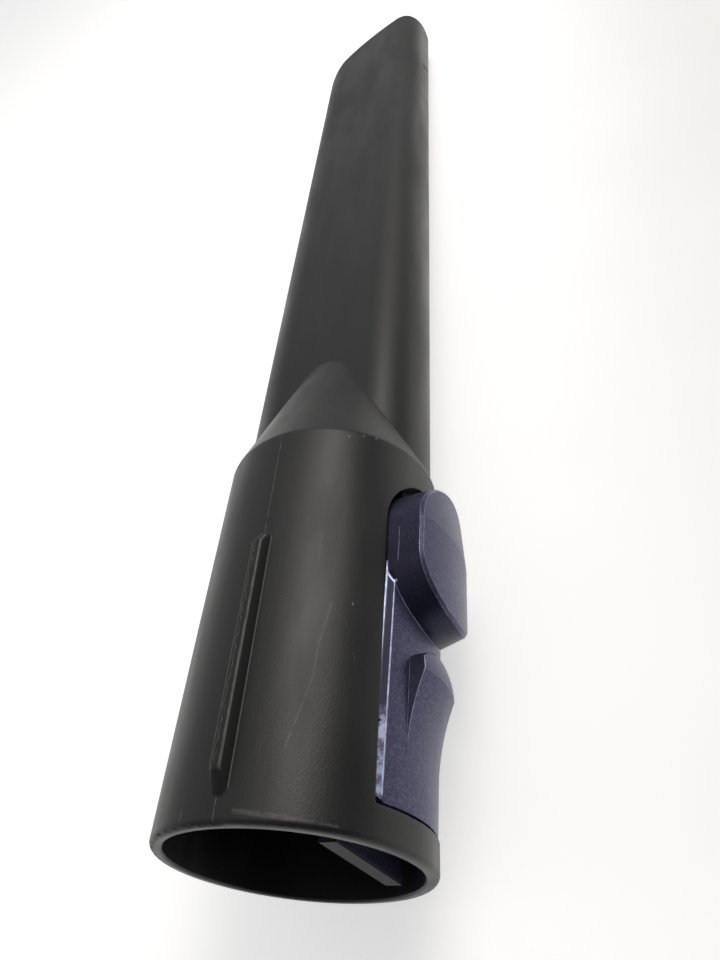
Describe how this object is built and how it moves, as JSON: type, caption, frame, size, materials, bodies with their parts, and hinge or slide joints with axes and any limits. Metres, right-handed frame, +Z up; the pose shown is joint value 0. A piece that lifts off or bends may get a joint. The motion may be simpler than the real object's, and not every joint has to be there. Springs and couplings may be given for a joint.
{
  "type": "vacuum crevice tool",
  "caption": "Vacuum crevice tool: round socket with a rocking press-to-release latch, short conical neck and a long flat hollow nozzle with an oblique rounded tip.",
  "frame": {"origin": "centre of the socket's mouth, in the plane of the rim", "axes": "+Y along the tool from the mouth to the tip, +X towards the release latch, +Z up on the side of the rib"},
  "size_m": [0.0434, 0.292, 0.0402],
  "materials": {
    "body": "satin, fine moulded grain",
    "latch": "satin with fine metallic flake",
    "spring": "drawn wire"
  },
  "bodies": {
    "tool": {"nozzle_body": "body", "latch_spring": "spring"},
    "latch": {"release_latch": "latch"}
  },
  "joints": [
    {"name": "latch_press", "type": "hinge", "parent": "tool", "child": "latch", "pos_m": [0.0124, 0.029, 0], "axis": [0, 0, 1], "range_deg": [0, 4.5], "stiffness_Nm_per_rad": 0.32, "springref_deg": -6.3, "deforming": ["latch_spring"]}
  ]
}
